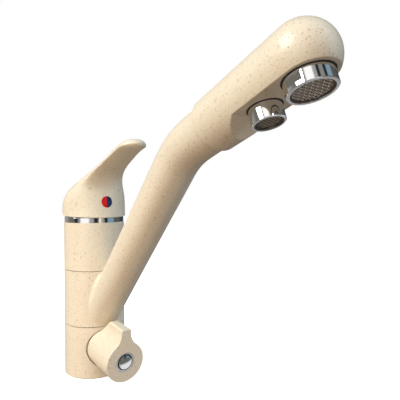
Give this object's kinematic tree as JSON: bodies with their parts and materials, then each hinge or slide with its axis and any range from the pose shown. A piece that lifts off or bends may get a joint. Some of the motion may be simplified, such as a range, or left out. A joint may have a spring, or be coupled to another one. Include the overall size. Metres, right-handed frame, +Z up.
{
  "type": "three-way kitchen tap",
  "caption": "Column kitchen tap with a lever mixer on top, a slanting swivel spout with separate mixed-water and filtered-water outlets, and a quarter-turn filter valve at its foot.",
  "frame": {"origin": "centre of the foot, on the face that rests on the sink or worktop", "axes": "+Z up along the column, -Y to the front, where spout, lever and knob point, +X to the right of a person who stands in front and looks at the tap"},
  "size_m": [0.0524, 0.2689, 0.227],
  "materials": {
    "oat_paint": "cast brass with speckled oat granite-look stoved paint, satin gloss",
    "chrome": "bright chrome plate",
    "red_inlay": "glossy red plastic",
    "blue_inlay": "glossy dark blue plastic",
    "plug_plastic": "grey plastic",
    "steel": "plain stainless steel",
    "brass": "turned brass",
    "cartridge_plastic": "white moulded plastic",
    "disc_ceramic": "lapped alumina",
    "slide_plastic": "dark low-friction plastic",
    "seal_rubber": "black sealing rubber",
    "insert_plastic": "grey moulded plastic"
  },
  "bodies": {
    "column": {"base_body": "oat_paint", "base_gasket": "seal_rubber", "lower_slide_ring": "slide_plastic", "upper_slide_ring": "slide_plastic", "spout_seal_lower": "seal_rubber", "spout_seal_middle": "seal_rubber", "spout_seal_upper": "seal_rubber", "neck_gasket": "seal_rubber", "upper_body": "oat_paint", "cartridge_base": "cartridge_plastic", "cartridge_seals": "seal_rubber", "fixed_disc": "disc_ceramic", "cartridge_housing": "cartridge_plastic", "cartridge_nut": "brass", "trim_ring": "chrome", "valve_bonnet": "brass", "valve_seat_seal": "seal_rubber", "valve_fixed_disc": "disc_ceramic"},
    "turret": {"cartridge_rotor": "cartridge_plastic", "pivot_pin": "steel"},
    "mixer_disc": {"moving_disc": "disc_ceramic", "disc_carrier": "cartridge_plastic"},
    "lever": {"handle": "oat_paint", "hot_dot": "red_inlay", "cold_dot": "blue_inlay", "dot_plug": "plug_plastic", "handle_screw": "steel", "cartridge_stem": "steel"},
    "spout": {"spout_arm": "oat_paint", "filter_tube": "slide_plastic", "head_seal": "seal_rubber", "spout_head": "oat_paint", "main_aerator_housing": "chrome", "main_aerator_insert": "insert_plastic", "main_aerator_mesh": "steel", "main_aerator_washer": "seal_rubber", "filter_aerator_housing": "chrome", "filter_aerator_insert": "insert_plastic", "filter_aerator_washer": "seal_rubber"},
    "filter_knob": {"knob": "oat_paint", "knob_cap": "chrome", "knob_screw": "steel", "valve_stem": "brass", "valve_moving_disc": "disc_ceramic", "valve_stem_seal": "seal_rubber"}
  },
  "joints": [
    {"name": "spout_swivel", "type": "hinge", "parent": "column", "child": "spout", "pos_m": [0, 0, 0.0645], "axis": [0, 0, 1], "continuous": true},
    {"name": "handle_turn", "type": "hinge", "parent": "column", "child": "turret", "pos_m": [0, 0, 0.1253], "axis": [0, 0, 1], "range_deg": [-45, 45]},
    {"name": "handle_lift", "type": "hinge", "parent": "turret", "child": "lever", "pos_m": [0, 0, 0.1253], "axis": [-1, 0, 0], "range_deg": [0, 14]},
    {"name": "disc_slide", "type": "slide", "parent": "turret", "child": "mixer_disc", "axis": [0, -1, 0], "range_m": [0, 0.0014]},
    {"name": "knob_turn", "type": "hinge", "parent": "column", "child": "filter_knob", "pos_m": [0, 0, 0.0267], "axis": [0, -0.9951, -0.0993], "range_deg": [0, 90]}
  ],
  "couplings": [
    {"joint": "disc_slide", "follows": "handle_lift", "m_per_rad": 0.0055}
  ]
}
